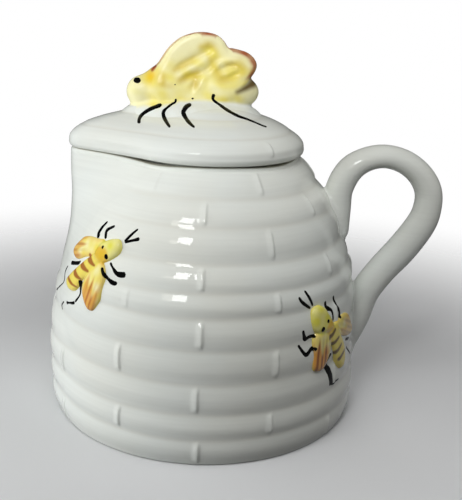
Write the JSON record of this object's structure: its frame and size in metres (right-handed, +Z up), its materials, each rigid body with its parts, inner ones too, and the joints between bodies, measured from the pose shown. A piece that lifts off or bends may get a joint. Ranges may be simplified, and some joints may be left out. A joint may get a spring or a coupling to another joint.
{
  "type": "beehive honey pot",
  "caption": "Glazed ceramic honey pot in the form of a coiled beehive, with a pouring lip, a looped handle, bees in relief and a loose lift-off lid with a bee for its knob.",
  "frame": {"origin": "on the pot's round axis, in the plane of the foot ring it stands on", "axes": "+Z up; +X towards the handle; -X towards the pouring lip; -Y is the side the picture shows"},
  "size_m": [0.1346, 0.107, 0.1263],
  "materials": {
    "cream_glaze": "gloss",
    "lid_bee_glaze": "gloss",
    "relief_bee_glaze": "gloss"
  },
  "bodies": {
    "pot": {"pot_body": "cream_glaze", "handle": "cream_glaze", "relief_bee_spout_front": "relief_bee_glaze", "relief_bee_spout_back": "relief_bee_glaze", "relief_bee_handle_front": "relief_bee_glaze", "relief_bee_handle_back": "relief_bee_glaze"},
    "lid": {"lid": "cream_glaze", "lid_bee_body": "lid_bee_glaze", "lid_bee_wings_left": "lid_bee_glaze", "lid_bee_wings_right": "lid_bee_glaze"}
  },
  "joints": [
    {"name": "lid_lift", "type": "slide", "parent": "pot", "child": "lid", "axis": [0, 0, 1], "range_m": [0, 0.06]}
  ]
}
